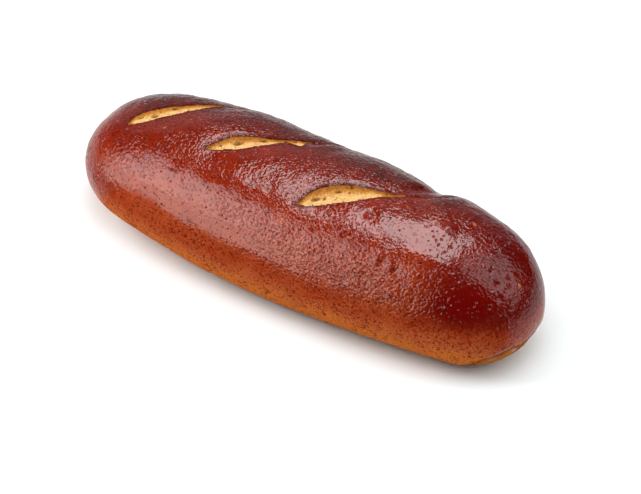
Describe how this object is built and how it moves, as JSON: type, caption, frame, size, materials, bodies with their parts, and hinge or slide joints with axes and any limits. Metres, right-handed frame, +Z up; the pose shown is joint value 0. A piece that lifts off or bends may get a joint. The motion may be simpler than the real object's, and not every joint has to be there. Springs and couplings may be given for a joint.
{
  "type": "pretzel hot dog bun",
  "caption": "Long rounded bread bun with a flat base, a dark glossy pretzel crust and slanted slashes that open onto pale crumb.",
  "frame": {"origin": "middle of the flat base that the bun rests on, under the middle of its box", "axes": "+X along the bun towards its near end, +Y across it towards its back side, +Z up"},
  "size_m": [0.165, 0.0552, 0.0444],
  "materials": {
    "crust": "satin",
    "crumb": "matte"
  },
  "bodies": {
    "root": {"bun": "crust"}
  },
  "joints": []
}
